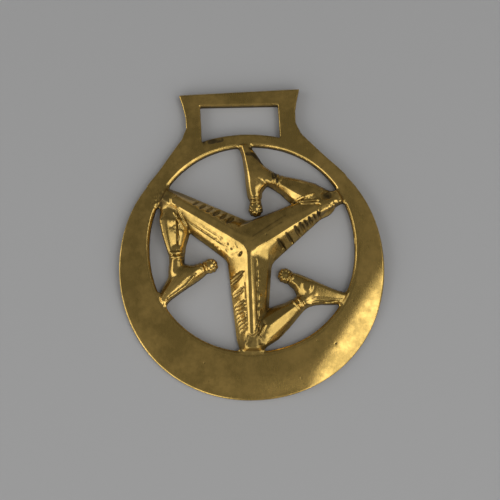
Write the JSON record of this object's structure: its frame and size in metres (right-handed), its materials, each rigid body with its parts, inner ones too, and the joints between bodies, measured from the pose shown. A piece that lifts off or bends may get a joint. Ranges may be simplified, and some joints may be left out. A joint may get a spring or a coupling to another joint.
{
  "type": "horse brass",
  "caption": "Cast brass harness ornament: a ring widest at its foot, three armoured bent legs joined in its window, and a strap loop on top.",
  "frame": {"origin": "on the flat back plane, at the middle of the outline's length and width", "axes": "+Z out of the face, +Y towards the strap loop, +X to the right seen from the front"},
  "size_m": [0.075, 0.0896, 0.0062],
  "materials": {
    "brass": "polished brass, rubbed bright on its high edges and dulled olive brown on its flat faces"
  },
  "bodies": {
    "root": {"horse_brass": "brass"}
  },
  "joints": []
}
